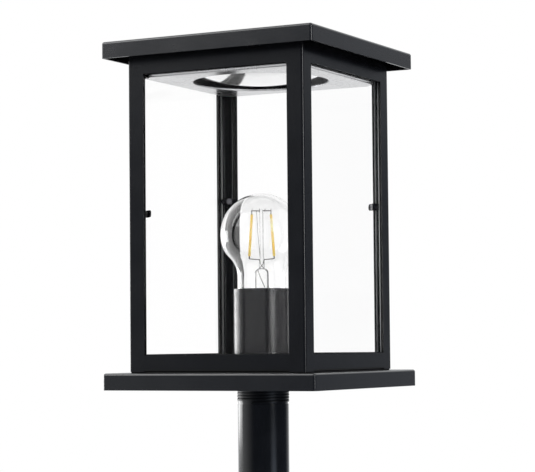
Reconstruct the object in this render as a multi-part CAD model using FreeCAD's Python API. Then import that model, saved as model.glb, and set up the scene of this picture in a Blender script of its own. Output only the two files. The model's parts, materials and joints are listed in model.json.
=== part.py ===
import FreeCAD, Part
import math
import os

# Post top lantern: a square glazed cage of butt-jointed steel angle, held between a folded base
# tray and a folded roof tray, with a clear globe lamp in a sleeved screw lampholder. The base tray
# is clamped by two ring nuts on the threaded end of a post tube.
#
# Millimetres. +Z up, +X right along the front, +Y towards the back.
# Origin: centre of the post tube's open lower end.

Vector = FreeCAD.Vector
X_AXIS = Vector(1, 0, 0)
Y_AXIS = Vector(0, 1, 0)
Z_AXIS = Vector(0, 0, 1)
ORIGIN = Vector(0, 0, 0)
QUARTER_TURNS = {"rear_right": 0, "rear_left": 1, "front_left": 2, "front_right": 3}
SIDE_TURNS = {"front": 0, "right": 1, "rear": 2, "left": 3}

# ------------------------------------------------------------------ driving dimensions
# Clearances
moving_gap = 0.3            # between faces that move past each other
fitted_gap = 0.1            # between fixed pieces that slide together
screw_hole_gap = 0.3        # radial, round a screw that passes through
near = 0.05                 # how close two places count as the same when edges are picked

# Folded sheet
sheet = 1.2                 # trays, cage posts, rails, ceiling and hangers
bend_inner_radius = 0.5

# Post tube
post_tube_radius = 18.5
post_tube_drop = 110.0      # from the base tray's lower edge down to the open end
post_tube_wall = 3.0        # round the spigot
spigot_depth = 98.0         # the bore steps in at this height and stops the spigot
spigot_stop_step = 2.0      # how much narrower the bore is in the threaded end
tube_top_rise = 8.0         # above the base tray's top face
undercut_below_tray = 10.0
undercut_width = 1.5
undercut_depth = 0.5
set_screw_height = 18.0
set_screw_radius = 3.0
set_screw_length = 5.0
set_screw_socket_radius = 1.8
set_screw_socket_depth = 2.5
set_screw_count = 3

# Base and roof trays
tray_side = 168.0
base_tray_height = 12.0
roof_tray_height = 12.0
cage_clear_height = 224.5   # base tray's top face to the roof skirt's lower edge

# Ring nuts that clamp the base tray
ring_nut_radius = 26.0
ring_nut_height = 7.0
ring_nut_notch_width = 5.0
ring_nut_notch_depth = 2.5
ring_nut_notch_count = 4
lock_washer_radius = 28.0
lock_washer_thickness = 1.0

# Cage
cage_setback = 13.75        # from the trays' edges to the cage's outside
cage_seal_thickness = 0.7
cage_seal_width = 9.0
cage_seal_inset = 1.0
post_leg = 12.7
bottom_rail_height = 12.0
bottom_rail_leg = 8.6
top_rail_leg = 5.0
top_rail_shown = 11.3       # how far the top rails show below the roof skirt
lug_thickness = 3.0
lug_screw_inset = 5.0       # from the post's inner faces to the screw's axis
lug_clearance = 0.8         # between lug and ceiling tray, measured on x + y

# Glazing
pane_side_cover = 2.2       # how far the panes run in behind the posts
pane_thickness = 3.0
pane_arris = 0.3            # ground off the upright edges
pane_top_cover = 8.0        # how far the panes run up behind the top rails
glazing_tape_thickness = 0.8
glazing_tape_proud = 0.5    # shows past the posts and rails

# Turn clips that press the panes outwards, one in each cage corner
clip_length = 12.6
clip_width = 4.8
clip_thickness = 1.5
clip_stud_radius = 2.4
clip_screw_radius = 1.5
clip_screw_head_radius = 2.3
clip_screw_head_height = 0.9
clip_screw_slot_width = 0.75
clip_screw_slot_depth = 0.45
clip_screw_grip = 7.0       # how far the screw reaches into its stud
clip_heights = {            # clip centres above the base tray's top face
    "rear_right": 120.6,
    "rear_left": 129.8,
    "front_left": 113.6,
    "front_right": 117.0,
}

# Ceiling tray and reflector, carried by the roof
ceiling_gap = 0.75          # between the ceiling tray and the panes
ceiling_drop = 13.3         # its underside below the roof skirt's lower edge
ceiling_flange = 8.0
ceiling_corner_cut = 10.0
ceiling_hole_margin = 15.5  # from the ceiling tray's edge to its hole
ceiling_hole_edge = 0.4
reflector_ring_shown = 0.5  # how much of the ring shows inside the hole
reflector_ring_cover = 7.0  # how far the ring runs out above the tray
reflector_ring_height = 4.3
reflector_sheet = 0.8
reflector_dome_inset = 2.0  # from the tray's hole in to the dome's edge
reflector_dome_sag = 7.4    # how far the dome's middle hangs below its edge
hanger_width = 14.0
hanger_tab = 13.0

# Screws
m4_radius = 2.0
m4_head_radius = 3.8
m4_head_height = 1.7
m4_head_edge = 0.7          # chamfer round the head
m4_drive_radius = 1.5       # six-sided socket, across its corners
m4_drive_depth = 1.0
m4_nut_radius = 4.0
m4_nut_height = 3.0
m4_screw_tail = 0.8         # thread that stands past what it is screwed into

# Lampholder
bracket_width = 14.0
bracket_thickness = 2.0
bracket_bend_radius = 1.8
bracket_foot = 15.0
bracket_gap = 1.5           # above the tube's end and beside the ring nut
nipple_radius = 5.0
nipple_bore_radius = 3.8
nipple_drop = 7.0           # below the bracket
nipple_rise = 6.5           # into the lampholder's base
nipple_nut_radius = 8.0
nipple_nut_height = 3.5
bushing_bore_radius = 3.0
bushing_flange_radius = 6.0
bushing_flange = 1.5
bushing_flange_edge = 0.75
bushing_depth = 5.0
sleeve_radius = 20.5
sleeve_wall = 0.8
sleeve_top = 60.0           # above the base tray's top face
holder_wall = 4.8
holder_base_thickness = 9.5
holder_ring_height = 28.0
shell_thickness = 0.7
shell_start = 4.0           # the shell's open side ends this far above the lampholder's base
shell_open_reach = 9.8      # how far towards the back the open side runs
contact_thickness = 0.5
contact_width = 6.0
contact_rise = 0.9
contact_bend = 3.75         # from the centre to the bend beside the terminal screw
terminal_offset = 9.5
terminal_screw_radius = 1.5
terminal_screw_grip = 4.0   # into the lampholder's base
terminal_head_radius = 2.3
terminal_head_height = 1.0
earth_screw_offset = 44.0   # from the centre, towards the back

# Lamp
lamp_radius = 30.0
lamp_top = 129.6            # above the base tray's top face
lamp_glass_wall = 0.8
lamp_cheek_start = 12.0     # degrees below the equator where the ball starts to draw in
lamp_cheek_radius = 20.0    # of the tighter arc that draws it in
lamp_throat_radius = 20.0   # of the hollow arc from there into the neck
lamp_neck_radius = 17.8
lamp_shoulder_radius = 10.0 # of the arc from the neck into the cap
lamp_neck_in_cap = 1.0
lamp_cap_radius = 13.1
lamp_cap_length = 23.0
lamp_cap_wall = 0.4
lamp_cap_floor_hole = 8.9
lamp_insulator_height = 3.2
lamp_insulator_low_radius = 5.8
lamp_insulator_top_radius = 12.1
lamp_tip_radius = 4.8
lamp_tip_height = 1.4
lamp_tip_edge = 1.0
lamp_stem_radius = 5.0
lamp_stem_dome_radius = 4.0
lamp_stem_top_below_equator = 24.5
lamp_press_radius = 1.9     # the pinched glass that holds the lower lead wires
lamp_press_top_below_equator = 17.5
lamp_rod_radius = 1.3
lamp_rod_top_above_equator = 18.0
filament_radius = 0.95
filament_top_offset = 7.0   # from the lamp's axis
filament_bottom_offset = 9.0
filament_top_above_equator = 14.5
filament_bottom_below_equator = 15.5
filament_turn = 27.6        # degrees round the lamp's axis, from +X
lead_wire_radius = 0.35
lead_wire_drop = 1.9        # from the filament's lower end to the wire's bend
lead_wire_below_rod_top = 0.7
driver_width = 12.0
driver_thickness = 5.0
driver_height = 14.0

# ------------------------------------------------------------------ levels and places
bend_radius = bend_inner_radius + sheet
base_low = post_tube_drop
base_top = base_low + base_tray_height
cage_low = base_top + cage_seal_thickness
skirt_low = base_top + cage_clear_height
roof_top = skirt_low + roof_tray_height
roof_sheet_low = roof_top - sheet
top_rail_low = skirt_low - top_rail_shown
bottom_rail_top = cage_low + bottom_rail_height

cage_half = tray_side / 2 - cage_setback
cage_inner = cage_half - sheet
opening_half = cage_half - post_leg
pane_outer = cage_inner - glazing_tape_thickness
pane_inner = pane_outer - pane_thickness
pane_low = cage_low + lug_thickness
pane_top = top_rail_low + pane_top_cover
lug_screw_place = cage_inner - lug_screw_inset
lug_screw_places = [(x * lug_screw_place, y * lug_screw_place) for x in (-1, 1) for y in (-1, 1)]

pane_half = opening_half + pane_side_cover

ceiling_half = pane_inner - ceiling_gap
ceiling_hole_radius = ceiling_half - ceiling_hole_margin
reflector_ring_inner = ceiling_hole_radius - reflector_ring_shown
reflector_ring_outer = ceiling_hole_radius + reflector_ring_cover
reflector_dome_radius = ceiling_hole_radius - reflector_dome_inset
ceiling_low = skirt_low - ceiling_drop
ceiling_diagonal = 2 * ceiling_half - ceiling_corner_cut
ring_low = ceiling_low + sheet
dome_edge = ring_low + reflector_ring_height
dome_low = dome_edge - reflector_dome_sag

clip_face = (pane_inner - moving_gap) * math.sqrt(2) - clip_length / 2

spigot_bore_radius = post_tube_radius - post_tube_wall
threaded_end_bore_radius = spigot_bore_radius - spigot_stop_step
tube_top = base_top + tube_top_rise
tube_hole_radius = post_tube_radius + fitted_gap
bracket_inner_half = ring_nut_radius + bracket_gap
bracket_outer_half = bracket_inner_half + bracket_thickness
bracket_low = tube_top + bracket_gap
bracket_top = bracket_low + bracket_thickness
bracket_screw_place = bracket_outer_half + bracket_foot / 2
bracket_screw_places = [(-bracket_screw_place, 0), (bracket_screw_place, 0)]
base_screw_places = bracket_screw_places + [(0, earth_screw_offset)]
nipple_hole_radius = nipple_radius + fitted_gap
sleeve_mouth = base_top + sleeve_top
holder_radius = sleeve_radius - sleeve_wall - fitted_gap
holder_bore = holder_radius - holder_wall
holder_base_top = bracket_top + holder_base_thickness
holder_top = holder_base_top + holder_ring_height
shell_outer = holder_bore - fitted_gap
contact_top = holder_base_top + contact_rise + contact_thickness

lamp_equator = base_top + lamp_top - lamp_radius
lamp_tip_low = contact_top + moving_gap
lamp_insulator_low = lamp_tip_low + lamp_tip_height
lamp_cap_low = lamp_insulator_low + lamp_insulator_height
lamp_cap_top = lamp_cap_low + lamp_cap_length

nodes = {}


# ------------------------------------------------------------------ shape helpers
def block(low, high):
    """A box from its lowest to its highest corner."""
    size = Vector(*high) - Vector(*low)
    return Part.makeBox(size.x, size.y, size.z, Vector(*low))


def rod(radius, start, end):
    """A round bar between two points."""
    way = end - start
    return Part.makeCylinder(radius, way.Length, start, way)


def upright(radius, low, high, x=0.0, y=0.0):
    """A round bar along Z."""
    return rod(radius, Vector(x, y, low), Vector(x, y, high))


def ring(outer, inner, low, high, x=0.0, y=0.0):
    """A round tube along Z."""
    margin = high - low
    return upright(outer, low, high, x, y).cut(upright(inner, low - margin, high + margin, x, y))


def drilled(shape, radius, places):
    """The shape with upright holes right through it at (x, y) places."""
    for x, y in places:
        shape = shape.cut(upright(radius, -sheet, roof_top + sheet, x, y))
    return shape


def turned(edges):
    """The solid that a closed outline in the XZ plane makes when it is turned about Z."""
    face = Part.Face(Part.Wire(edges))
    return face.revolve(ORIGIN, Z_AXIS, 360)


def outline(points):
    """Straight edges through (radius, height) points, not closed."""
    corners = [Vector(radius, 0, height) for radius, height in points]
    return [Part.LineSegment(a, b).toShape() for a, b in zip(corners, corners[1:])]


def hexagon(width, low, high, x=0.0, y=0.0):
    """A six-sided prism along Z, width across its corners."""
    corners = []
    for index in range(7):
        angle = math.radians(60 * index)
        corners.append(Vector(x + width * math.cos(angle), y + width * math.sin(angle), low))
    return Part.Face(Part.makePolygon(corners)).extrude(Vector(0, 0, high - low))


def rotated(shape, degrees):
    """A copy turned about the lantern's vertical axis."""
    copy = shape.copy()
    copy.rotate(ORIGIN, Z_AXIS, degrees)
    return copy


def four_corners(shape):
    """Copies of a rear right corner piece in all four corners."""
    return [rotated(shape, 90 * turns) for turns in QUARTER_TURNS.values()]


def edges_of(shape, wanted):
    """The edges whose middle point passes a test."""
    found = []
    for edge in shape.Edges:
        middle = edge.valueAt((edge.FirstParameter + edge.LastParameter) / 2)
        if wanted(middle):
            found.append(edge)
    return found


def angle_bar(leg_x, leg_y, length):
    """Folded angle along Z with its outside corner on the origin and legs along +X and +Y."""
    outer = bend_radius
    inner = bend_radius - bend_inner_radius
    middle = math.sqrt(0.5)
    fold = Vector(outer, outer, 0)
    outer_middle = fold - Vector(outer * middle, outer * middle, 0)
    inner_middle = fold - Vector(bend_inner_radius * middle, bend_inner_radius * middle, 0)
    corners = [
        Vector(outer, 0, 0), Vector(leg_x, 0, 0), Vector(leg_x, sheet, 0), Vector(outer, inner, 0),
        Vector(inner, outer, 0), Vector(sheet, leg_y, 0), Vector(0, leg_y, 0), Vector(0, outer, 0),
    ]
    edges = [Part.LineSegment(a, b).toShape() for a, b in zip(corners[:4], corners[1:4])]
    edges.append(Part.Arc(corners[3], inner_middle, corners[4]).toShape())
    edges += [Part.LineSegment(a, b).toShape() for a, b in zip(corners[4:], corners[5:])]
    edges.append(Part.Arc(corners[7], outer_middle, corners[0]).toShape())
    return Part.Face(Part.Wire(edges)).extrude(Vector(0, 0, length))


def folded_tray(half, low, high):
    """A square tray of folded sheet with welded corners, open below."""
    def shell(inset, radius, bottom, top):
        side = half - inset
        body = block((-side, -side, bottom), (side, side, top))
        folds = edges_of(body, lambda middle: middle.z > bottom + near)
        return body.makeFillet(radius, folds)

    outside = shell(0, bend_radius, low, high)
    inside = shell(sheet, bend_inner_radius, low - sheet, high - sheet)
    return outside.cut(inside)


def pan_screw(x, y, face, tip, head_up=True):
    """A pan head screw along Z with its head's seat at face and its thread's end at tip."""
    shank = upright(m4_radius, min(face, tip), max(face, tip), x, y)
    head_end = face + (m4_head_height if head_up else -m4_head_height)
    head = upright(m4_head_radius, min(face, head_end), max(face, head_end), x, y)
    rim = edges_of(head, lambda middle: abs(middle.z - head_end) < near)
    head = head.makeChamfer(m4_head_edge, rim)
    drive = hexagon(m4_drive_radius, head_end - m4_drive_depth, head_end + m4_drive_depth, x, y)
    return head.fuse(shank).removeSplitter().cut(drive)


def keep(name, *solids):
    """Store one node of one or more separate solids."""
    nodes[name] = solids[0] if len(solids) == 1 else Part.makeCompound(list(solids))


# ------------------------------------------------------------------ post tube and its nuts
def make_post_tube():
    outside = upright(post_tube_radius, 0, tube_top)
    groove_top = base_low - undercut_below_tray
    groove = ring(post_tube_radius + undercut_depth, post_tube_radius - undercut_depth,
                  groove_top - undercut_width, groove_top)
    wide_bore = upright(spigot_bore_radius, -sheet, spigot_depth)
    narrow_bore = upright(threaded_end_bore_radius, 0, tube_top + sheet)
    tube = outside.cut(groove).cut(wide_bore).cut(narrow_bore)
    screws = []
    for index in range(set_screw_count):
        turn = 360 / set_screw_count * index + 90
        start = Vector(spigot_bore_radius + fitted_gap, 0, set_screw_height)
        end = start + Vector(set_screw_length, 0, 0)
        hole = rod(set_screw_radius + fitted_gap, Vector(0, 0, set_screw_height), end)
        socket = hexagon(set_screw_socket_radius, 0, set_screw_socket_depth)
        socket.rotate(ORIGIN, Y_AXIS, 90)
        socket.translate(end - Vector(set_screw_socket_depth, 0, 0))
        tube = tube.cut(rotated(hole, turn))
        screws.append(rotated(rod(set_screw_radius, start, end).cut(socket), turn))
    keep("post_tube", tube)
    keep("post_set_screws", *screws)


def make_ring_nut(name, low):
    nut = ring(ring_nut_radius, tube_hole_radius, low, low + ring_nut_height)
    notch = block((ring_nut_radius - ring_nut_notch_depth, -ring_nut_notch_width / 2, low - sheet),
                  (ring_nut_radius + sheet, ring_nut_notch_width / 2, low + ring_nut_height + sheet))
    for index in range(ring_nut_notch_count):
        nut = nut.cut(rotated(notch, 360 / ring_nut_notch_count * (index + 0.5)))
    keep(name, nut)


def make_post_fixing():
    washer_low = base_top - sheet - lock_washer_thickness
    keep("lock_washer", ring(lock_washer_radius, tube_hole_radius, washer_low, base_top - sheet))
    make_ring_nut("upper_ring_nut", base_top)
    make_ring_nut("lower_ring_nut", washer_low - ring_nut_height)


# ------------------------------------------------------------------ trays
def make_base_tray():
    tray = folded_tray(tray_side / 2, base_low, base_top)
    tray = drilled(tray, tube_hole_radius, [(0, 0)])
    keep("base_tray", drilled(tray, m4_radius + screw_hole_gap, lug_screw_places + base_screw_places))


def make_roof():
    roof = folded_tray(tray_side / 2, skirt_low, roof_top)
    keep("roof_cap", drilled(roof, m4_radius + screw_hole_gap, lug_screw_places))
    tip = roof_sheet_low - lug_thickness - m4_screw_tail
    keep("roof_screws", *[pan_screw(x, y, roof_top, tip) for x, y in lug_screw_places])


# ------------------------------------------------------------------ cage
def make_cage_seal():
    outer = cage_half - cage_seal_inset
    inner = outer - cage_seal_width
    seal = block((-outer, -outer, base_top), (outer, outer, cage_low))
    seal = seal.cut(block((-inner, -inner, base_low), (inner, inner, skirt_low)))
    keep("cage_seal", drilled(seal, m4_radius + screw_hole_gap, lug_screw_places))


def make_posts():
    post = angle_bar(post_leg, post_leg, roof_sheet_low - cage_low)
    post.rotate(ORIGIN, Z_AXIS, 180)
    post.translate(Vector(cage_half, cage_half, cage_low))
    for corner, turns in QUARTER_TURNS.items():
        keep(f"cage_post_{corner}", rotated(post, 90 * turns))
    return post


def make_rails():
    length = 2 * opening_half
    bottom = angle_bar(bottom_rail_leg, bottom_rail_height, length)
    bottom.Placement = FreeCAD.Placement(
        Vector(-opening_half, -cage_half, cage_low), FreeCAD.Rotation(Y_AXIS, Z_AXIS, X_AXIS, "XYZ"))
    top = angle_bar(roof_sheet_low - top_rail_low, top_rail_leg, length)
    top.Placement = FreeCAD.Placement(
        Vector(-opening_half, -cage_half, roof_sheet_low), FreeCAD.Rotation(-Z_AXIS, Y_AXIS, X_AXIS, "XYZ"))
    for side, turns in SIDE_TURNS.items():
        keep(f"bottom_rail_{side}", rotated(bottom, 90 * turns))
        keep(f"top_rail_{side}", rotated(top, 90 * turns))


def make_lugs():
    """Drilled plates in the top and bottom inner corner of each post, clear of the ceiling tray."""
    def lug(low):
        corner_flat = bend_inner_radius
        slant = ceiling_diagonal + lug_clearance - opening_half
        points = [
            (cage_inner - corner_flat, cage_inner), (opening_half, cage_inner), (opening_half, slant),
            (slant, opening_half), (cage_inner, opening_half), (cage_inner, cage_inner - corner_flat),
            (cage_inner - corner_flat, cage_inner),
        ]
        plate = Part.Face(Part.makePolygon([Vector(x, y, low) for x, y in points]))
        plate = plate.extrude(Vector(0, 0, lug_thickness))
        return drilled(plate, m4_radius + screw_hole_gap, [(lug_screw_place, lug_screw_place)])

    lugs = four_corners(lug(cage_low)) + four_corners(lug(roof_sheet_low - lug_thickness))
    keep("corner_lugs", *lugs)


# ------------------------------------------------------------------ glazing
def make_panes():
    half = pane_half
    pane = block((-half, -pane_outer, pane_low), (half, -pane_inner, pane_top))
    arrises = edges_of(pane, lambda middle: abs(abs(middle.x) - half) < near
                       and abs(middle.z - (pane_low + pane_top) / 2) < near)
    pane = pane.makeChamfer(pane_arris, arrises)
    tape = block((-half, -cage_inner, pane_low), (half, -pane_outer, pane_top))
    shown = opening_half - glazing_tape_proud
    window = block((-shown, -cage_half, bottom_rail_top + glazing_tape_proud),
                   (shown, 0, top_rail_low - glazing_tape_proud))
    tape = tape.cut(window)
    for side, turns in SIDE_TURNS.items():
        keep(f"pane_{side}", rotated(pane, 90 * turns))
        keep(f"glazing_tape_{side}", rotated(tape, 90 * turns))


def make_clips(post):
    """A round-ended bar, its welded stud and its countersunk screw, along the corner's diagonal."""
    straight = clip_length / 2 - clip_width / 2
    inner_face = clip_face - clip_thickness
    bar = block((inner_face, -straight, -clip_width / 2), (clip_face, straight, clip_width / 2))
    for y in (-straight, straight):
        bar = bar.fuse(rod(clip_width / 2, Vector(inner_face, y, 0), Vector(clip_face, y, 0)))
    bar = bar.removeSplitter()
    hole_radius = clip_screw_radius + moving_gap
    countersink = Part.makeCone(clip_screw_head_radius + moving_gap, hole_radius, clip_screw_head_height,
                                Vector(inner_face, 0, 0), X_AXIS)
    bar = bar.cut(rod(hole_radius, Vector(inner_face - sheet, 0, 0), Vector(clip_face + sheet, 0, 0)))
    bar = bar.cut(countersink)

    stud_start = clip_face + moving_gap
    stud_end = cage_inner * math.sqrt(2)
    thread_hole = rod(clip_screw_radius + fitted_gap, Vector(clip_face, 0, 0),
                      Vector(stud_start + clip_screw_grip, 0, 0))
    stud = rod(clip_stud_radius, Vector(stud_start, 0, 0), Vector(stud_end, 0, 0)).cut(thread_hole)
    head = Part.makeCone(clip_screw_head_radius, clip_screw_radius, clip_screw_head_height,
                         Vector(inner_face, 0, 0), X_AXIS)
    screw_end = stud_start + clip_screw_grip - fitted_gap
    screw = rod(clip_screw_radius, Vector(inner_face, 0, 0), Vector(screw_end, 0, 0))
    screw = screw.fuse(head).removeSplitter()
    slot_half = clip_screw_slot_width / 2
    slot = block((inner_face - sheet, -clip_screw_head_radius, -slot_half),
                 (inner_face + clip_screw_slot_depth, clip_screw_head_radius, slot_half))
    screw = screw.cut(slot)

    corner_space = block((0, 0, base_low), (cage_inner, cage_inner, roof_top))
    studs = []
    screws = []
    for corner, turns in QUARTER_TURNS.items():
        lift = Vector(0, 0, base_top + clip_heights[corner])
        placed = []
        for piece in (bar, stud, screw):
            copy = rotated(piece, 45)
            copy.translate(lift)
            placed.append(copy)
        keep(f"pane_clip_{corner}", rotated(placed[0], 90 * turns))
        studs.append(rotated(placed[1].common(corner_space).cut(post), 90 * turns))
        screws.append(rotated(placed[2], 90 * turns))
    keep("clip_studs", *studs)
    keep("clip_screws", *screws)


# ------------------------------------------------------------------ ceiling and reflector
def make_ceiling():
    """A square tray, open above, with slanted corners that pass the lugs and a large round hole."""
    half = ceiling_half
    top = ceiling_low + ceiling_flange
    body = block((-half, -half, ceiling_low), (half, half, top))
    body = body.makeFillet(bend_radius, edges_of(body, lambda middle: middle.z < top - near))
    hollow_half = half - sheet
    hollow_top = top + sheet
    hollow = block((-hollow_half, -hollow_half, ring_low), (hollow_half, hollow_half, hollow_top))
    folds = edges_of(hollow, lambda middle: middle.z < hollow_top - near)
    hollow = hollow.makeFillet(bend_inner_radius, folds)
    tray = body.cut(hollow)

    reach = half + ceiling_corner_cut
    far = ceiling_diagonal - reach
    corner = [(reach, far), (reach, reach), (far, reach), (reach, far)]
    prism = Part.Face(Part.makePolygon([Vector(x, y, base_top) for x, y in corner]))
    for each in four_corners(prism.extrude(Vector(0, 0, roof_top - base_top))):
        tray = tray.cut(each)
    tray = drilled(tray, ceiling_hole_radius, [(0, 0)])
    rim = edges_of(tray, lambda middle: abs(middle.z - ceiling_low) < near
                   and abs(math.hypot(middle.x, middle.y) - ceiling_hole_radius) < near)
    keep("ceiling_tray", tray.makeFillet(ceiling_hole_edge, rim))


def make_reflector():
    """A polished dome that hangs down into the ceiling tray's hole, on a black ring above the tray."""
    keep("reflector_ring", ring(reflector_ring_outer, reflector_ring_inner, ring_low, dome_edge))

    def dome_arc(radius, edge):
        """The arc from the dome's edge to its lowest point, and the point half way."""
        ball = (radius ** 2 + reflector_dome_sag ** 2) / (2 * reflector_dome_sag)
        low = edge - reflector_dome_sag
        half_angle = math.asin(radius / ball) / 2
        middle = Vector(ball * math.sin(half_angle), 0, low + ball - ball * math.cos(half_angle))
        return Part.Arc(Vector(radius, 0, edge), middle, Vector(0, 0, low)).toShape()

    edge_top = dome_edge + reflector_sheet
    top_radius = reflector_dome_radius - reflector_sheet / 2
    edges = [dome_arc(reflector_dome_radius, dome_edge), dome_arc(top_radius, edge_top)]
    edges += outline([(0, dome_low), (0, dome_low + reflector_sheet)])
    edges += outline([
        (top_radius, edge_top), (reflector_ring_outer, edge_top),
        (reflector_ring_outer, dome_edge), (reflector_dome_radius, dome_edge),
    ])
    keep("reflector_dome", turned(Part.__sortEdges__(edges)))


def make_hangers():
    """Angle strips spot-welded under the roof and to the ceiling tray's upturned flanges."""
    outer = ceiling_half - sheet
    drop = roof_sheet_low - ring_low - bend_inner_radius
    strip = angle_bar(hanger_tab, drop, hanger_width)
    strip.Placement = FreeCAD.Placement(
        Vector(outer, hanger_width / 2, roof_sheet_low), FreeCAD.Rotation(-X_AXIS, -Z_AXIS, -Y_AXIS, "XYZ"))
    keep("ceiling_hangers", *four_corners(strip))


# ------------------------------------------------------------------ lampholder
def make_bracket():
    """A strap that bridges the tube's end and the ring nut, on two feet."""
    half_width = bracket_width / 2
    inner = bracket_inner_half
    outer = bracket_outer_half
    foot_end = outer + bracket_foot
    foot_top = base_top + bracket_thickness
    strap = block((-outer, -half_width, bracket_low), (outer, half_width, bracket_top))
    for turn in (0, 180):
        wall = block((inner, -half_width, base_top), (outer, half_width, bracket_top))
        foot = block((inner, -half_width, base_top), (foot_end, half_width, foot_top))
        strap = strap.fuse(rotated(wall.fuse(foot), turn))
    strap = strap.removeSplitter()
    folds = edges_of(strap, lambda middle: abs(abs(middle.x) - outer) < near
                     and abs(middle.y) < near and middle.z > bracket_top - near)
    strap = strap.makeFillet(bracket_bend_radius, folds)
    strap = drilled(strap, nipple_hole_radius, [(0, 0)])
    keep("holder_bracket", drilled(strap, m4_radius + fitted_gap, bracket_screw_places))

    nuts = []
    for x, y in base_screw_places:
        nut = hexagon(m4_nut_radius, base_top - sheet - m4_nut_height, base_top - sheet, x, y)
        nuts.append(drilled(nut, m4_radius + fitted_gap, [(x, y)]))
    keep("screw_nuts", *nuts)


def make_nipple():
    nipple_low = bracket_low - nipple_drop
    keep("holder_nipple", ring(nipple_radius, nipple_bore_radius, nipple_low, bracket_top + nipple_rise))
    nut = hexagon(nipple_nut_radius, bracket_low - nipple_nut_height, bracket_low)
    keep("nipple_nut", drilled(nut, nipple_hole_radius, [(0, 0)]))
    barrel = upright(nipple_bore_radius - fitted_gap, nipple_low, nipple_low + bushing_depth)
    flange = upright(bushing_flange_radius, nipple_low - bushing_flange, nipple_low)
    rim = edges_of(flange, lambda middle: middle.z < nipple_low - bushing_flange + near)
    flange = flange.makeChamfer(bushing_flange_edge, rim)
    bushing = barrel.fuse(flange).removeSplitter()
    keep("cable_bushing", drilled(bushing, bushing_bore_radius, [(0, 0)]))


def make_holder():
    """A sleeve round a ceramic base and ring, with the threaded shell and the contacts inside."""
    keep("holder_sleeve", ring(sleeve_radius, sleeve_radius - sleeve_wall, bracket_top, sleeve_mouth))
    keep("holder_ring", ring(holder_radius, holder_bore, holder_base_top, holder_top))
    base = upright(holder_radius, bracket_top, holder_base_top)
    base = base.cut(upright(nipple_hole_radius, base_low, bracket_top + nipple_rise))
    base = drilled(base, bushing_bore_radius, [(0, 0)])

    shell = ring(shell_outer, shell_outer - shell_thickness, holder_base_top, holder_top)
    shell = shell.cut(block((-holder_radius, -holder_radius, bracket_top),
                            (holder_radius, shell_open_reach, holder_base_top + shell_start)))
    keep("threaded_shell", shell)

    level = holder_base_top
    raised = level + contact_rise
    reach = terminal_offset + terminal_head_radius
    points = [
        (reach, level), (contact_bend, level), (0, raised), (-lamp_tip_radius, raised),
        (-lamp_tip_radius, contact_top), (0, contact_top), (contact_bend, level + contact_thickness),
        (reach, level + contact_thickness), (reach, level),
    ]
    profile = Part.Face(Part.makePolygon([Vector(x, -contact_width / 2, z) for x, z in points]))
    tongue = profile.extrude(Vector(0, contact_width, 0))

    screws = []
    screw_low = level - terminal_screw_grip
    for x, seat in ((-terminal_offset, level), (terminal_offset, level + contact_thickness)):
        head = upright(terminal_head_radius, seat, seat + terminal_head_height, x)
        screws.append(upright(terminal_screw_radius, screw_low, seat, x).fuse(head).removeSplitter())
        hole = upright(terminal_screw_radius + fitted_gap, screw_low, contact_top, x)
        base = base.cut(hole)
        tongue = tongue.cut(hole)
    keep("holder_base", base)
    keep("centre_contact", tongue)
    keep("terminal_screws", *screws)


def make_base_screws():
    """The screws through the base tray: four into the cage's lugs, two in the bracket, one for earth."""
    tip = cage_low + lug_thickness + m4_screw_tail
    screws = [pan_screw(x, y, base_top - sheet, tip, head_up=False) for x, y in lug_screw_places]
    tip = base_top - sheet - m4_nut_height - m4_screw_tail
    foot_top = base_top + bracket_thickness
    screws += [pan_screw(x, y, foot_top, tip) for x, y in bracket_screw_places]
    screws.append(pan_screw(0, earth_screw_offset, base_top, tip))
    keep("base_screws", *screws)


# ------------------------------------------------------------------ lamp
def make_lamp_glass():
    """A blown ball that draws in through a tighter arc and a hollow arc to the neck, then to the cap."""
    def surface(inset):
        """One glass surface from its crown to its lower end, as arcs and lines that run on smoothly."""
        leave = math.radians(lamp_cheek_start)
        lean = lamp_radius - lamp_cheek_radius
        cheek = Vector(lean * math.cos(leave), 0, lamp_equator - lean * math.sin(leave))
        across = lamp_neck_radius + lamp_throat_radius - cheek.x
        down = math.sqrt((lamp_cheek_radius + lamp_throat_radius) ** 2 - across ** 2)
        throat = cheek + Vector(across, 0, -down)
        end_x = lamp_cap_radius - lamp_cap_wall - fitted_gap - inset
        shoulder_x = lamp_neck_radius - lamp_shoulder_radius
        shoulder_radius = lamp_shoulder_radius - inset
        turn = math.acos((end_x - shoulder_x) / shoulder_radius)
        shoulder = Vector(shoulder_x, 0, lamp_cap_top + lamp_shoulder_radius * math.sin(turn))

        def arc(middle, radius, start, end):
            """An arc between two angles above the level."""
            places = []
            for degrees in (start, (start + end) / 2, end):
                angle = math.radians(degrees)
                places.append(middle + Vector(radius * math.cos(angle), 0, radius * math.sin(angle)))
            return Part.Arc(*places).toShape()

        meet = math.degrees(math.atan2(-down, across))
        centre = Vector(0, 0, lamp_equator)
        edges = [
            arc(centre, lamp_radius - inset, 90, -lamp_cheek_start),
            arc(cheek, lamp_cheek_radius - inset, -lamp_cheek_start, meet),
            arc(throat, lamp_throat_radius + inset, 180 + meet, 180),
        ]
        neck_x = lamp_neck_radius - inset
        edges += outline([(neck_x, throat.z), (neck_x, shoulder.z)])
        edges.append(arc(shoulder, shoulder_radius, 0, -math.degrees(turn)))
        end_z = lamp_cap_top - lamp_neck_in_cap
        edges += outline([(end_x, shoulder.z - shoulder_radius * math.sin(turn)), (end_x, end_z)])
        return edges, (0, lamp_equator + lamp_radius - inset), (end_x, end_z)

    outside, outer_crown, outer_end = surface(0)
    inside, inner_crown, inner_end = surface(lamp_glass_wall)
    joins = outline([outer_crown, inner_crown]) + outline([outer_end, inner_end])
    keep("lamp_glass", turned(Part.__sortEdges__(outside + inside + joins)))


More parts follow.
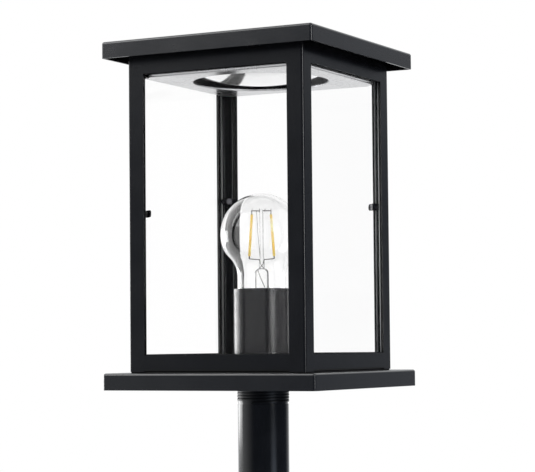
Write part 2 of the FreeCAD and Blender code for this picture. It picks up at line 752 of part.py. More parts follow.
def make_lamp_cap():
    inner = lamp_cap_radius - lamp_cap_wall
    cap = ring(lamp_cap_radius, inner, lamp_cap_low, lamp_cap_top)
    floor = ring(lamp_cap_radius, lamp_cap_floor_hole, lamp_cap_low, lamp_cap_low + lamp_cap_wall)
    keep("lamp_cap", cap.fuse(floor).removeSplitter())
    insulator = turned(outline([
        (0, lamp_insulator_low), (lamp_insulator_low_radius, lamp_insulator_low),
        (lamp_insulator_top_radius, lamp_cap_low), (0, lamp_cap_low), (0, lamp_insulator_low),
    ]))
    keep("lamp_insulator", insulator)
    tip = upright(lamp_tip_radius, lamp_tip_low, lamp_insulator_low)
    rim = edges_of(tip, lambda middle: middle.z < lamp_tip_low + near)
    keep("lamp_tip_contact", tip.makeChamfer(lamp_tip_edge, rim))
    driver_low = lamp_cap_low + lamp_cap_wall
    keep("lamp_driver", block((-driver_width / 2, -driver_thickness / 2, driver_low),
                              (driver_width / 2, driver_thickness / 2, driver_low + driver_height)))


def make_lamp_inside():
    """The stem with its press and rod, two filaments, and the wires that carry them."""
    stem_top = lamp_equator - lamp_stem_top_below_equator
    stem_low = lamp_cap_low + lamp_cap_wall + driver_height
    press_top = lamp_equator - lamp_press_top_below_equator
    rod_top = lamp_equator + lamp_rod_top_above_equator
    dome = upright(lamp_stem_radius, stem_low, stem_top)
    dome = dome.makeFillet(lamp_stem_dome_radius, edges_of(dome, lambda middle: middle.z > stem_top - near))
    stem = dome.fuse(upright(lamp_press_radius, stem_low, press_top))
    stem = stem.fuse(upright(lamp_rod_radius, stem_low, rod_top)).removeSplitter()
    keep("lamp_stem", stem)

    def wire(points):
        """A thin wire along straight stretches, round at its bends, that stops at the stem's surface."""
        shape = rod(lead_wire_radius, points[0], points[1])
        for start, end in zip(points[1:], points[2:]):
            shape = shape.fuse(Part.makeSphere(lead_wire_radius, start))
            shape = shape.fuse(rod(lead_wire_radius, start, end))
        return shape.removeSplitter().cut(stem)

    wires = []
    filaments = []
    for side in (-1, 1):
        top = Vector(side * filament_top_offset, 0, lamp_equator + filament_top_above_equator)
        low = Vector(side * filament_bottom_offset, 0, lamp_equator - filament_bottom_below_equator)
        filaments.append(rotated(rod(filament_radius, low, top), filament_turn))
        hook = Vector(top.x, 0, rod_top - lead_wire_below_rod_top)
        knee = low - Vector(0, 0, lead_wire_drop)
        hold = press_top - lead_wire_below_rod_top
        for points in ([top, hook, Vector(0, 0, hook.z)], [low, knee, Vector(0, 0, hold)]):
            wires.append(rotated(wire(points), filament_turn))
    keep("lamp_filaments", *filaments)
    keep("lamp_lead_wires", *wires)


# ------------------------------------------------------------------ build and write
make_post_tube()
make_post_fixing()
make_base_tray()
make_roof()
make_cage_seal()
cage_post = make_posts()
make_rails()
make_lugs()
make_panes()
make_clips(cage_post)
make_ceiling()
make_reflector()
make_hangers()
make_bracket()
make_nipple()
make_holder()
make_base_screws()
make_lamp_glass()
make_lamp_cap()
make_lamp_inside()

os.makedirs("parts", exist_ok=True)
for name, shape in nodes.items():
    shape.exportStep(f"parts/{name}.step")
print(len(nodes), "nodes,", sum(len(shape.Solids) for shape in nodes.values()), "solids")
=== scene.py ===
import json
import math

import bmesh
import bpy
from mathutils import Matrix, Vector


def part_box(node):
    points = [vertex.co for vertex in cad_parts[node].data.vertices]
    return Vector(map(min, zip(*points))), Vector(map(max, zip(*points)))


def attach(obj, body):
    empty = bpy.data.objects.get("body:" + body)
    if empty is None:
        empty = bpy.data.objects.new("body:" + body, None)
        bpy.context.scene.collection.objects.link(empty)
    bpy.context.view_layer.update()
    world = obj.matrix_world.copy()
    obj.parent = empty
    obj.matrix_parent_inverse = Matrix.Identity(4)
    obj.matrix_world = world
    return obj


# The looks of a glazed post top lantern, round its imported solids. Metres, +Z up, +X to the right
# along the front. The origin is the centre of the post tube's lower end, at the floor's height.

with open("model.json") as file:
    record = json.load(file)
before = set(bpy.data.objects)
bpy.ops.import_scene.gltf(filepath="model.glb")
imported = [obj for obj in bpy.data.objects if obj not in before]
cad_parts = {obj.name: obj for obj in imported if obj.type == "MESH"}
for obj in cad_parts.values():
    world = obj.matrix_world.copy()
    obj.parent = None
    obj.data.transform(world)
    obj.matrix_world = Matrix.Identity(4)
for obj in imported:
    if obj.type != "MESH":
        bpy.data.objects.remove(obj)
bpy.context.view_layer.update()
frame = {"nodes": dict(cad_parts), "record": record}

MM = 0.001
white = (1.0, 1.0, 1.0)


# ------------------------------------------------------------------ places read from the frame
base_low, base_top = (corner.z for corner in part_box("base_tray"))
tube_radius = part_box("post_tube")[1].x
rod_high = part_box("lamp_stem")[1].z
filament_low, filament_high = (corner.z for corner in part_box("lamp_filaments"))
filament_turn = math.radians(27.6)      # of the filaments' plane about the lamp's axis, from +X


# ------------------------------------------------------------------ the room that gloss shows
# Its dark side is to the right of the front and a little down, and the side away from it is white.
# Heights are those of a direction of length one.
dark_turn = math.radians(63)
dark_level, dark_down = 0.97, 0.24
dark_side = (math.sin(dark_turn) * dark_level, -math.cos(dark_turn) * dark_level, -dark_down)
glow_dark = 0.25                # cosine towards the dark side from which it is dark
glow_white = -0.75              # and from which it is white
band_low = (0.0, 0.012)         # heights over which the dim band round the room sets in
band_high = (0.09, 0.14)        # and over which it ends
band_share = 0.25               # of the glow that is left inside the band
above_heights = (0.12, 0.5)     # over which high directions grow lighter
above_glow = 0.45               # and by how much
glow_low = (0.065, 0.078, 0.105)
glow_high = (0.97, 0.985, 1.0)


# ------------------------------------------------------------------ shader building
class Nodes:
    """A node tree and short calls that add nodes to it."""

    def __init__(self, tree):
        self.tree = tree
        self.tree.nodes.clear()

    def add(self, kind):
        return self.tree.nodes.new(kind)

    def link(self, source, target):
        self.tree.links.new(source, target)

    def feed(self, value, target):
        """Puts a number, a colour or what another socket gives into a socket."""
        if isinstance(value, tuple):
            target.default_value = (*value, 1)
        elif isinstance(value, (int, float)):
            target.default_value = value
        else:
            self.link(value, target)

    def spread(self, source, low, high, from_low=0.3, from_high=0.7, soft=False):
        """A value moved from one range, by default the middle of a noise, to a range of its own."""
        spread = self.add("ShaderNodeMapRange")
        spread.interpolation_type = "SMOOTHSTEP" if soft else "LINEAR"
        spread.inputs["From Min"].default_value = from_low
        spread.inputs["From Max"].default_value = from_high
        spread.inputs["To Min"].default_value = low
        spread.inputs["To Max"].default_value = high
        self.link(source, spread.inputs["Value"])
        return spread.outputs["Result"]

    def maths(self, operation, first, *others):
        """A Math operation on values from left to right. Each may be a socket."""
        result = first
        for value in others:
            node = self.add("ShaderNodeMath")
            node.operation = operation
            self.feed(result, node.inputs[0])
            self.feed(value, node.inputs[1])
            result = node.outputs["Value"]
        return result

    def vector(self, operation, source, second=None):
        """A Vector Math node on a socket and, where it takes one, a fixed second vector."""
        node = self.add("ShaderNodeVectorMath")
        node.operation = operation
        self.link(source, node.inputs[0])
        if second:
            node.inputs[1].default_value = second
        return node

    def unit(self, source):
        """A direction brought to a length of one."""
        return self.vector("NORMALIZE", source).outputs["Vector"]

    def cosine(self, unit, side):
        """The cosine between a direction and a fixed side, both of length one."""
        return self.vector("DOT_PRODUCT", unit, side).outputs["Value"]

    def along(self, source, axis):
        """A place's or a direction's part along X, Y or Z."""
        parts = self.add("ShaderNodeSeparateXYZ")
        self.link(source, parts.inputs["Vector"])
        return parts.outputs[axis]

    def between(self, factor, first, second):
        """A colour that runs from first to second with a factor. Either may be a socket."""
        mix = self.add("ShaderNodeMix")
        mix.data_type = "RGBA"
        self.link(factor, mix.inputs["Factor"])
        # The sockets of all data types share their names, so the colour ones go by place.
        colour_a, colour_b, colour_result = mix.inputs[6], mix.inputs[7], mix.outputs[2]
        self.feed(first, colour_a)
        self.feed(second, colour_b)
        return colour_result

    def blend(self, factor, first, second):
        """A shader that runs from first to second with a factor."""
        mix = self.add("ShaderNodeMixShader")
        for socket, value in zip(mix.inputs, (factor, first, second)):
            self.link(value, socket)
        return mix.outputs["Shader"]

    def emission(self, colour):
        """A shader that glows in a colour, with a strength of one."""
        shader = self.add("ShaderNodeEmission")
        self.feed(colour, shader.inputs["Color"])
        return shader.outputs["Emission"]

    def rays(self, *kinds):
        """One for rays of any of these kinds, and nought for the rest."""
        path = self.add("ShaderNodeLightPath")
        return self.maths("MAXIMUM", *(path.outputs[f"Is {kind} Ray"] for kind in kinds))

    def studio_glow(self, direction):
        """What gloss shows of the room in a direction, from glow_low to glow_high."""
        unit = self.unit(direction)
        around = self.spread(self.cosine(unit, dark_side), 0, 1, glow_dark, glow_white, soft=True)
        height = self.along(unit, "Z")
        rise = self.spread(height, 0, 1, *band_low, soft=True)
        fall = self.spread(height, 1, 0, *band_high, soft=True)
        band = self.spread(self.maths("MULTIPLY", rise, fall), 1, band_share, 0, 1)
        above = self.spread(height, 0, above_glow, *above_heights, soft=True)
        share = self.maths("ADD", self.maths("MULTIPLY", around, band), above)
        return self.between(self.maths("MINIMUM", share, 1.0), glow_low, glow_high)


class Look(Nodes):
    """A material and short calls that shape its Principled shader."""

    def __init__(self, name):
        self.material = bpy.data.materials.new(name)
        self.material.use_nodes = True
        super().__init__(self.material.node_tree)
        self.output = self.add("ShaderNodeOutputMaterial")
        self.shader = self.add("ShaderNodeBsdfPrincipled")
        self.link(self.shader.outputs["BSDF"], self.output.inputs["Surface"])
        self.place = self.add("ShaderNodeTexCoord").outputs["Object"]

    def set(self, **values):
        """Uniform values on the shader's own sockets, named with underscores for spaces."""
        for name, value in values.items():
            self.feed(value, self.shader.inputs[name.replace("_", " ")])

    def noise(self, scale, detail=4.0, stretch=None, seed=0.0):
        """Noise of about 0.5, scale in features per metre, stretched along an axis by a factor."""
        source = self.place
        if stretch or seed:
            mapping = self.add("ShaderNodeMapping")
            mapping.inputs["Scale"].default_value = stretch or (1, 1, 1)
            mapping.inputs["Location"].default_value = (seed, seed, seed)
            self.link(source, mapping.inputs["Vector"])
            source = mapping.outputs["Vector"]
        texture = self.add("ShaderNodeTexNoise")
        texture.inputs["Scale"].default_value = scale
        texture.inputs["Detail"].default_value = detail
        self.link(source, texture.inputs["Vector"])
        return texture.outputs["Fac"]

    def patches(self, **noise):
        """A factor of nought to one in soft patches."""
        return self.spread(self.noise(**noise), 0, 1)

    def colour(self, factor, first, second):
        """A base colour that runs from first to second with a factor."""
        self.link(self.between(factor, first, second), self.shader.inputs["Base Color"])

    def rough(self, source, low, high, *span):
        """A roughness from low to high, over a span of a noise or by default its middle."""
        self.link(self.spread(source, low, high, *span), self.shader.inputs["Roughness"])

    def bump(self, source, depth):
        """A bump of a real depth in metres, on top of any bump before it."""
        bump = self.add("ShaderNodeBump")
        bump.inputs["Distance"].default_value = depth
        self.link(source, bump.inputs["Height"])
        normal = self.shader.inputs["Normal"]
        if normal.is_linked:
            self.link(normal.links[0].from_socket, bump.inputs["Normal"])
        self.link(bump.outputs["Normal"], normal)

    def pass_lamps(self):
        """Lets light from the lamps straight through clear glass."""
        clear = self.add("ShaderNodeBsdfTransparent").outputs["BSDF"]
        through = self.blend(self.rays("Shadow"), self.shader.outputs["BSDF"], clear)
        self.link(through, self.output.inputs["Surface"])


def shade(colour, share):
    """A colour made darker, or paler by a share over one."""
    return tuple(channel * share for channel in colour)


# ------------------------------------------------------------------ kinds of finish
def powder_coat(name, seed, colour, roughness, gloss, peel):
    """Powder coat: orange peel of a depth in millimetres, slow changes of gloss, rubbed specks."""
    look = Look(name)
    look.set(Specular_IOR_Level=gloss)
    rubbed = look.spread(look.noise(scale=60, seed=seed), 0, 1, 0.35, 0.65)
    look.colour(rubbed, shade(colour, 0.8), shade(colour, 1.25))
    dull = look.noise(scale=38, detail=6, seed=seed + 3)
    look.rough(dull, roughness - 0.03, roughness + 0.04)
    look.bump(look.noise(scale=900, detail=2, seed=seed), depth=peel * 0.25 * MM)
    look.bump(look.noise(scale=220, detail=1, seed=seed), depth=peel * MM)
    return look.material


def drawn_metal(name, seed, colour, roughness, stretch=None):
    """Bare or plated metal with fine draw lines and a slight stain."""
    look = Look(name)
    look.set(Metallic=1.0)
    look.colour(look.patches(scale=90, detail=5, seed=seed), shade(colour, 0.72), colour)
    look.rough(look.noise(scale=45, seed=seed + 1), roughness - 0.06, roughness + 0.1)
    look.bump(look.noise(scale=900, detail=3, stretch=stretch, seed=seed), depth=0.012 * MM)
    return look.material


def soft_dark(name, seed, colour, roughness, grain, gloss=0.5):
    """Rubber, moulded plastic or dull paint with a fine matt grain."""
    look = Look(name)
    look.set(Specular_IOR_Level=gloss)
    look.colour(look.patches(scale=120, seed=seed), colour, shade(colour, 1.6))
    look.rough(look.noise(scale=70, seed=seed + 2), roughness - 0.07, roughness + 0.07)
    look.bump(look.noise(scale=grain, detail=3, seed=seed), depth=0.02 * MM)
    return look.material


def clear_glass(name, seed, wave, ior, painted_rim_shade=None):
    """Clear glass with a faint wave and a little haze. Rim: painted shade on what is edge on."""
    look = Look(name)
    look.set(Base_Color=white, Transmission_Weight=1.0, IOR=ior)
    if painted_rim_shade:
        # Painted shade: a dark outline where the glass is seen edge on.
        facing = look.add("ShaderNodeLayerWeight")
        facing.inputs["Blend"].default_value = 0.5
        look.colour(look.spread(facing.outputs["Facing"], 0, 1, 0.25, 0.65), white, painted_rim_shade)
    look.rough(look.noise(scale=30, detail=3, seed=seed), 0.0, 0.004, 0.5, 0.9)
    look.bump(look.noise(scale=wave, detail=1, seed=seed), depth=0.002 * MM)
    look.pass_lamps()
    return look.material


def satin_sheet(name, seed, colour, roughness):
    """Pale satin sheet metal with a faint grain and slightly duller patches."""
    look = Look(name)
    look.set(Metallic=1.0)
    look.colour(look.patches(scale=16, seed=seed), shade(colour, 0.94), colour)
    look.rough(look.noise(scale=40, seed=seed + 1), roughness - 0.02, roughness + 0.03)
    look.bump(look.noise(scale=900, detail=2, seed=seed), depth=0.002 * MM)
    return look.material


def polished(name, seed, colour, roughness, metallic):
    """Polished sheet metal with faint haze. Less metallic is milkier."""
    look = Look(name)
    look.set(Metallic=metallic)
    look.colour(look.patches(scale=40, seed=seed), shade(colour, 0.93), colour)
    look.rough(look.noise(scale=60, detail=5, seed=seed), roughness * 0.6, roughness * 1.6)
    look.bump(look.noise(scale=700, detail=2, seed=seed), depth=0.001 * MM)
    return look.material


def ceramic(name, seed, colour):
    """Fired ceramic with a dry, slightly grainy glaze."""
    look = Look(name)
    look.colour(look.patches(scale=200, detail=6, seed=seed), shade(colour, 0.93), colour)
    look.rough(look.noise(scale=90, seed=seed), 0.35, 0.55)
    look.bump(look.noise(scale=1500, detail=4, seed=seed), depth=0.015 * MM)
    return look.material


# The paler stretch on the light strip on the right, in shares of the strip's height
pale_stretch_start = (0.55, 0.6)
pale_stretch_end = (0.88, 0.93)
pale_stretch_share = 0.75
right_strip = (0.0, 2 * MM)     # where X passes from the left strip's side to the right strip's


def phosphor(name, seed, deep, pale):
    """The thick yellow coat of a light strip, paler on a stretch of the right one and in small
    patches.
    """
    look = Look(name)
    look.set(Subsurface_Weight=0.2, Subsurface_Scale=0.5 * MM)
    start, end = ([filament_low + share * (filament_high - filament_low) for share in span]
                  for span in (pale_stretch_start, pale_stretch_end))
    height = look.along(look.place, "Z")
    right = look.spread(look.along(look.place, "X"), 0, 1, *right_strip)
    pale_stretch = look.maths("MULTIPLY", right, look.spread(height, 0, 1, *start),
                      look.spread(height, 1, 0, *end), pale_stretch_share)
    small = look.noise(scale=260, detail=2, stretch=(1, 1, 0.35), seed=seed)
    look.colour(look.maths("MAXIMUM", pale_stretch, look.spread(small, 0, 0.35)), deep, pale)
    look.rough(look.noise(scale=900, seed=seed), 0.35, 0.6)
    look.bump(look.noise(scale=2200, detail=2, seed=seed), depth=0.03 * MM)
    return look.material


painted_shade_span = (-20 * MM, 20 * MM)       # where X passes from the edges with painted shade to the pale ones


def ground_glass(name, seed, dull, pale):
    """A pane's ground upright edge: frosted, grinding lines, pale on the right, painted shade on
    the left.
    """
    look = Look(name)
    look.set(Specular_IOR_Level=0.2)
    # Painted shade: the edges at negative X take the dull colour, and those at positive X the pale
    # one.
    right = look.spread(look.along(look.place, "X"), 0, 1, *painted_shade_span)
    streaks = look.spread(look.noise(scale=80, stretch=(1, 1, 0.2), seed=seed), 0.85, 1)
    look.colour(look.maths("MULTIPLY", right, streaks), dull, pale)
    look.rough(look.noise(scale=300, seed=seed), 0.3, 0.5)
    look.bump(look.noise(scale=1500, detail=2, stretch=(1, 1, 0.1), seed=seed), depth=0.01 * MM)
    look.pass_lamps()
    return look.material


# ------------------------------------------------------------------ the lantern's finishes
coat_black = (0.0038, 0.0042, 0.0058)
finishes = {
    "powder_black": (powder_coat, dict(
        seed=1.0, colour=coat_black, roughness=0.22, gloss=0.6, peel=0.008)),
    "tray_black": (powder_coat, dict(
        seed=22.0, colour=coat_black, roughness=0.24, gloss=1.0, peel=0.008)),
    "post_black": (powder_coat, dict(
        seed=2.0, colour=(0.006, 0.0066, 0.0086), roughness=0.13, gloss=0.5, peel=0.004)),
    "sleeve_black": (powder_coat, dict(
        seed=3.0, colour=(0.004, 0.0042, 0.0056), roughness=0.24, gloss=0.4, peel=0.004)),
    "clip_black": (soft_dark, dict(
        seed=23.0, colour=(0.005, 0.005, 0.006), roughness=0.6, grain=900, gloss=0.0)),
    "thread_black": (soft_dark, dict(
        seed=24.0, colour=(0.003, 0.0031, 0.0038), roughness=0.32, grain=1500, gloss=0.3)),
    "ring_black": (soft_dark, dict(
        seed=7.0, colour=(0.002, 0.002, 0.0025), roughness=0.5, grain=900, gloss=0.03)),
    "seal_rubber": (soft_dark, dict(
        seed=6.0, colour=(0.003, 0.003, 0.003), roughness=0.6, grain=1500)),
    "plastic_black": (soft_dark, dict(
        seed=8.0, colour=(0.012, 0.012, 0.012), roughness=0.5, grain=1200)),
    "cap_insulator": (soft_dark, dict(
        seed=9.0, colour=(0.006, 0.006, 0.008), roughness=0.15, grain=600)),
    "driver_board": (soft_dark, dict(
        seed=10.0, colour=(0.02, 0.09, 0.03), roughness=0.45, grain=800)),
    "screw_black": (drawn_metal, dict(seed=4.0, colour=(0.05, 0.05, 0.055), roughness=0.35)),
    "zinc_steel": (drawn_metal, dict(seed=5.0, colour=(0.62, 0.63, 0.64), roughness=0.3)),
    "contact_brass": (drawn_metal, dict(seed=14.0, colour=(0.8, 0.6, 0.28), roughness=0.25)),
    "cap_nickel": (drawn_metal, dict(seed=15.0, colour=(0.72, 0.7, 0.66), roughness=0.22)),
    "lead_wire": (drawn_metal, dict(
        seed=20.0, colour=(0.2, 0.19, 0.185), roughness=0.3, stretch=(1, 1, 0.02))),
    "ceiling_white": (satin_sheet, dict(seed=11.0, colour=(0.56, 0.565, 0.58), roughness=0.26)),
    "reflector_bright": (polished, dict(
        seed=12.0, colour=(0.97, 0.97, 0.975), roughness=0.1, metallic=0.81)),
    "holder_ceramic": (ceramic, dict(seed=13.0, colour=(0.78, 0.76, 0.7))),
    "pane_glass": (clear_glass, dict(seed=16.0, wave=6, ior=1.14)),
    "lamp_glass": (clear_glass, dict(seed=17.0, wave=25, ior=1.42)),
    # The rim colour is a painted dark outline on the stem glass.
    "stem_glass": (clear_glass, dict(seed=18.0, wave=60, ior=1.12, painted_rim_shade=(0.05, 0.05, 0.055))),
    "filament_yellow": (phosphor, dict(
        seed=19.0, deep=(0.84, 0.56, 0.06), pale=(0.96, 0.9, 0.6))),
    # The dull colour is painted shade on the pane edges at negative X.
    "pane_edge": (ground_glass, dict(
        seed=21.0, dull=(0.2, 0.205, 0.205), pale=(0.95, 0.97, 0.97))),
}
looks = {name: kind(name, **values) for name, (kind, values) in finishes.items()}

# Nodes whose look isn't the one that their material slot names
own_looks = {"base_tray": "tray_black", "roof_cap": "tray_black"}
for corner in ("front_left", "front_right", "rear_left", "rear_right"):
    own_looks[f"pane_clip_{corner}"] = "clip_black"

for part in frame["record"]["subparts"]:
    for slot in frame["nodes"][part["node"]].material_slots:
        slot.material = looks[own_looks.get(part["node"], part["material_slot"])]


# ------------------------------------------------------------------ pieces
def add_object(name, data):
    """A new object in the scene."""
    added = bpy.data.objects.new(name, data)
    bpy.context.scene.collection.objects.link(added)
    return added


def mesh_from(bm, name):
    """A bmesh as a mesh. The bmesh is freed."""
    mesh = bpy.data.meshes.new(name)
    bm.to_mesh(mesh)
    bm.free()
    return mesh


def make_piece(name, mesh, look, body, smooth=True):
    """A mesh as a piece of its own that rides on a body."""
    piece = add_object(name, mesh)
    mesh.materials.append(looks[look])
    for face in mesh.polygons:
        face.use_smooth = smooth
    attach(piece, body)


def skin(bm, rings):
    """Faces between each ring of vertices and the next, and over both ends."""
    count = len(rings[0])
    for first, second in zip(rings, rings[1:]):
        for index in range(count):
            after = (index + 1) % count
            bm.faces.new((first[index], first[after], second[after], second[index]))
    bm.faces.new(rings[0][::-1])
    bm.faces.new(rings[-1])
    bmesh.ops.recalc_face_normals(bm, faces=bm.faces)


def make_wires(name, runs, sides):
    """Round wires as one piece. A run is a radius and the points that its wire follows."""
    bm = bmesh.new()
    for radius, points in runs:
        rings = []
        for index, point in enumerate(points):
            before, after = points[max(index - 1, 0)], points[min(index + 1, len(points) - 1)]
            turn = Vector((0, 0, 1)).rotation_difference(after - before)
            ring = []
            for side in range(sides):
                angle = 2 * math.pi * side / sides
                spoke = Vector((math.cos(angle), math.sin(angle), 0))
                ring.append(bm.verts.new(point + turn @ spoke * radius))
            rings.append(ring)
        skin(bm, rings)
    make_piece(name, mesh_from(bm, name), "lead_wire", "lamp")


# Fine wires of the lamp. A place is in millimetres across the filaments' plane, above the base
# tray's top and behind that plane.
support_radius = 0.16 * MM
hook_radius = 1.2 * support_radius
lead_radius = 1.5 * support_radius
wire_sides = 8
rod_top = (rod_high - base_top) / MM
support_places = ((-3.5, rod_top - 1.0, -1.6), (-2.6, 100, -1.7), (-1.2, 83, -1.4))
hook_across = (-6.9, -1.6, 2.6, 6.9)
hook_lean = 0.2
hook_low, hook_high, hook_behind = rod_top - 1.8, rod_top + 0.9, -0.3
lead_places = (
    ((-1.4, 81.5, -0.4), (-0.7, 78, -0.2), (1.3, 75, 0.2)),
    ((1.4, 81.5, 0.4), (0.6, 78, 0.3), (-1.4, 75, -0.3)),
    ((-2.6, 73.5, 0.5), (-1.2, 69, 0.4), (1.8, 61, 0.2)),
)

# Crimped sleeves that join the wires to the ends of the light strips
crimp_radius = 0.5 * MM
crimp_sides = 12
strip_low = (filament_low - base_top) / MM
strip_high = (filament_high - base_top) / MM
crimps = (                      # across to either side, and from one height to another
    (7.0, strip_high - 0.6, strip_high + 0.5),
    (9.05, strip_low - 1.6, strip_low + 0.3),
)


def in_lamp(across, height, behind=0.0):
    """A place in the lamp as a point in metres."""
    cosine, sine = math.cos(filament_turn), math.sin(filament_turn)
    return Vector((cosine * across - sine * behind, sine * across + cosine * behind, 0)) * MM + \
        Vector((0, 0, base_top + height * MM))


def make_fine_wires():
    wires = [(support_radius, support_places)]
    wires += [(hook_radius, ((across, hook_low, hook_behind),
                             (across + hook_lean, hook_high, hook_behind)))
              for across in hook_across]
    wires += [(lead_radius, places) for places in lead_places]
    runs = [(radius, [in_lamp(*place) for place in places]) for radius, places in wires]
    make_wires("lamp_fine_wires", runs, wire_sides)


def make_crimps():
    runs = [(crimp_radius, [in_lamp(side * across, height)
                            for height in (start, (start + end) / 2, end)])
            for side in (-1, 1) for across, start, end in crimps]
    make_wires("filament_crimps", runs, crimp_sides)


# The thread on the post tube, from the undercut up to the base tray
thread_pitch = 2.1 * MM
thread_height = 0.35 * MM
thread_sunk = 0.2 * MM          # how far the ridge's foot goes into the tube
thread_start = base_low - 9.7 * MM
thread_end = base_low - 0.6 * MM
thread_steps = 72               # for each turn
thread_runout = 0.25            # turns over which it rises from nothing, and dies away
thread_profile = (              # out in thread heights, sunk in metres, along in pitches
    (0, thread_sunk, -0.5), (0, 0, -0.46), (1, 0, -0.12),
    (1, 0, 0.12), (0, 0, 0.46), (0, thread_sunk, 0.5),
)


def make_thread():
    bm = bmesh.new()
    count = int((thread_end - thread_start) / thread_pitch * thread_steps)
    rings = []
    for step in range(count + 1):
        turned = step / thread_steps
        angle = 2 * math.pi * step / thread_steps
        grown = min(1.0, turned / thread_runout, (count - step) / thread_steps / thread_runout)
        ring = []
        for out, sunk, along in thread_profile:
            radius = tube_radius + out * thread_height * grown - sunk
            height = thread_start + thread_pitch * turned + along * thread_pitch
            ring.append(bm.verts.new((radius * math.sin(angle), -radius * math.cos(angle), height)))
        rings.append(ring)
    skin(bm, rings)
    make_piece("post_tube_thread", mesh_from(bm, "post_tube_thread"), "thread_black", "lantern",
               smooth=False)


# The ground upright edges of the panes
edge_layer = 0.2 * MM
edge_arris = 0.3 * MM           # left bare round each ground edge
edge_gap = 0.02 * MM            # between it and the pane
edge_round = 0.3 * edge_layer
edge_round_steps = 2


def make_pane_edges(side):
    low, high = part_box(f"pane_{side}")
    along = 0 if high.x - low.x > high.y - low.y else 1
    bm = bmesh.new()
    for end, outwards in ((low, -1), (high, 1)):
        size = high - low
        size.z -= 2 * edge_arris
        size[1 - along] -= 2 * edge_arris
        size[along] = edge_layer
        centre = (low + high) / 2
        centre[along] = end[along] + outwards * (edge_gap + edge_layer / 2)
        strip = bmesh.ops.create_cube(bm, size=1)["verts"]
        bmesh.ops.scale(bm, vec=size, verts=strip)
        bmesh.ops.translate(bm, vec=centre, verts=strip)
    bmesh.ops.bevel(bm, geom=list(bm.edges), offset=edge_round, segments=edge_round_steps,
                    affect="EDGES")
    make_piece(f"pane_edges_{side}", mesh_from(bm, f"pane_edges_{side}"), "pane_edge", "lantern")


make_fine_wires()
make_crimps()
make_thread()
for side in ("front", "right", "rear", "left"):
    make_pane_edges(side)


# ------------------------------------------------------------------ camera
camera_focal = 1952.34          # pixels, for a picture 535 pixels wide
picture_width = 535
sensor_width = 36.0
camera_distance = 1.4210        # from the lantern's axis
camera_turn = math.radians(28.006)
camera_height = base_top + 0.0196
camera_pitch = math.radians(3.176)
camera_pan = math.radians(-0.167)
camera_roll = math.radians(-0.519)
camera_near, camera_far = 0.05, 50


def make_camera():
    heading = camera_turn + camera_pan
    forward = Vector((-math.sin(heading) * math.cos(camera_pitch),
                      math.cos(heading) * math.cos(camera_pitch), math.sin(camera_pitch)))
    level = Vector((math.cos(heading), math.sin(heading), 0))
    above = level.cross(forward)
    right = level * math.cos(camera_roll) + above * math.sin(camera_roll)
    up = above * math.cos(camera_roll) - level * math.sin(camera_roll)
    place = Vector((camera_distance * math.sin(camera_turn),
                    -camera_distance * math.cos(camera_turn), camera_height))
    data = bpy.data.cameras.new("camera")
    data.sensor_fit = "HORIZONTAL"
    data.sensor_width = sensor_width
    data.lens = camera_focal * sensor_width / picture_width
    data.clip_start = camera_near
    data.clip_end = camera_far
    camera = add_object("camera", data)
    camera.matrix_world = Matrix((
        (right.x, up.x, -forward.x, place.x),
        (right.y, up.y, -forward.y, place.y),
        (right.z, up.z, -forward.z, place.z),
        (0, 0, 0, 1)))
    bpy.context.scene.camera = camera


# ------------------------------------------------------------------ floor, sky and lamps
floor_half = 12.0
floor_corners = ((-1, -1), (1, -1), (1, 1), (-1, 1))
floor_shades = ((0.8, 0.8, 0.8), (0.83, 0.83, 0.83))
floor_shown = 0.3               # the floor shows its own shade out to here,
floor_fade = 0.3                # and fades to white over this
patch_turn = math.radians(74)   # of the lit patch that gloss shows, from the front to the right
patch_side = (math.sin(patch_turn), -math.cos(patch_turn), 0)
patch_edge = 0.96               # cosine of the patch's half width
patch_reach = (0.45, 1.7)       # how far out it is full, and where it has faded
patch_colour = (1.2, 1.4, 1.7)
sky_light = 0.5
lamps = (                       # name, place, aim, size and watts
    ("key_lamp", (-1.2, -1.0, 1.3), (0, 0, 0.24), (1.2, 1.2), 11),
    ("side_lamp", (-1.3, 0.28, 0.2), (0, 0, 0.2), (1.0, 0.38), 5.2),
    ("fill_lamp", (1.35, -0.45, 0.37), (0, 0, 0.37), (0.4, 0.46), 3.6),
)


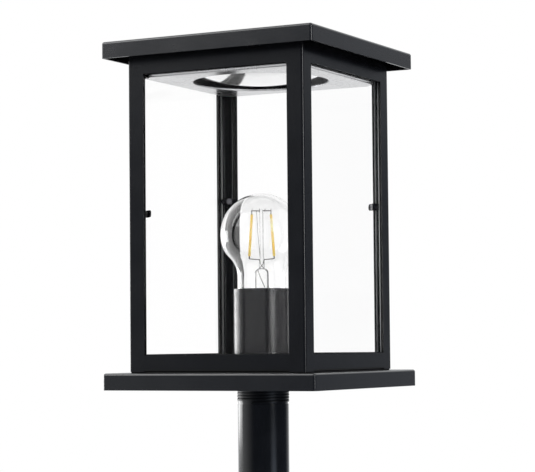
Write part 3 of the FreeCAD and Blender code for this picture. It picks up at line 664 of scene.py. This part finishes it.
def make_floor():
    """Pale paper near the lantern and white beyond. To gloss it is the room and a lit patch."""
    mesh = bpy.data.meshes.new("floor")
    mesh.from_pydata([(x * floor_half, y * floor_half, 0) for x, y in floor_corners], [],
                     [(0, 1, 2, 3)])
    floor = add_object("floor", mesh)
    look = Look("floor_paper")
    look.set(Roughness=0.9, Specular_IOR_Level=0.1)
    look.colour(look.noise(scale=5), *floor_shades)
    distance = look.vector("LENGTH", look.place).outputs["Value"]
    far = look.spread(distance, 0, 1, floor_shown, floor_shown + floor_fade)
    whiter = look.maths("MULTIPLY", look.rays("Camera", "Transmission"), far)
    seen = look.blend(whiter, look.shader.outputs["BSDF"], look.emission(white))
    towards = look.cosine(look.unit(look.place), patch_side)
    aside = look.spread(towards, 0, 1, patch_edge, 1.0, soft=True)
    close = look.spread(distance, 1, 0, *patch_reach, soft=True)
    glow = look.between(look.maths("MULTIPLY", aside, close), look.studio_glow(look.place),
                        patch_colour)
    only_gloss = look.maths("SUBTRACT", look.rays("Glossy"), look.rays("Camera", "Transmission"))
    look.link(look.blend(only_gloss, seen, look.emission(glow)), look.output.inputs["Surface"])
    mesh.materials.append(look.material)


def make_sky():
    """White to the eye and through glass, the room to gloss, and an even light to the rest."""
    world = bpy.data.worlds.new("studio")
    world.use_nodes = True
    nodes = Nodes(world.node_tree)

    def background(colour, strength=1.0):
        shader = nodes.add("ShaderNodeBackground")
        nodes.feed(colour, shader.inputs["Color"])
        nodes.feed(strength, shader.inputs["Strength"])
        return shader.outputs["Background"]

    direction = nodes.add("ShaderNodeTexCoord").outputs["Generated"]
    room = background(nodes.studio_glow(direction))
    lit = nodes.blend(nodes.rays("Glossy"), background(white, sky_light), room)
    seen = nodes.blend(nodes.rays("Camera", "Transmission"), lit, background(white))
    nodes.link(seen, nodes.add("ShaderNodeOutputWorld").inputs["Surface"])
    bpy.context.scene.world = world


def make_lamp(name, place, aim, size, power):
    data = bpy.data.lights.new(name, "AREA")
    data.shape = "RECTANGLE"
    data.size, data.size_y = size
    data.energy = power
    lamp = add_object(name, data)
    lamp.location = place
    lamp.rotation_euler = (Vector(aim) - Vector(place)).to_track_quat("-Z", "Y").to_euler()
    lamp.visible_camera = False


make_camera()
make_floor()
make_sky()
for lamp in lamps:
    make_lamp(*lamp)

scene = bpy.context.scene
scene.view_settings.view_transform = "Standard"
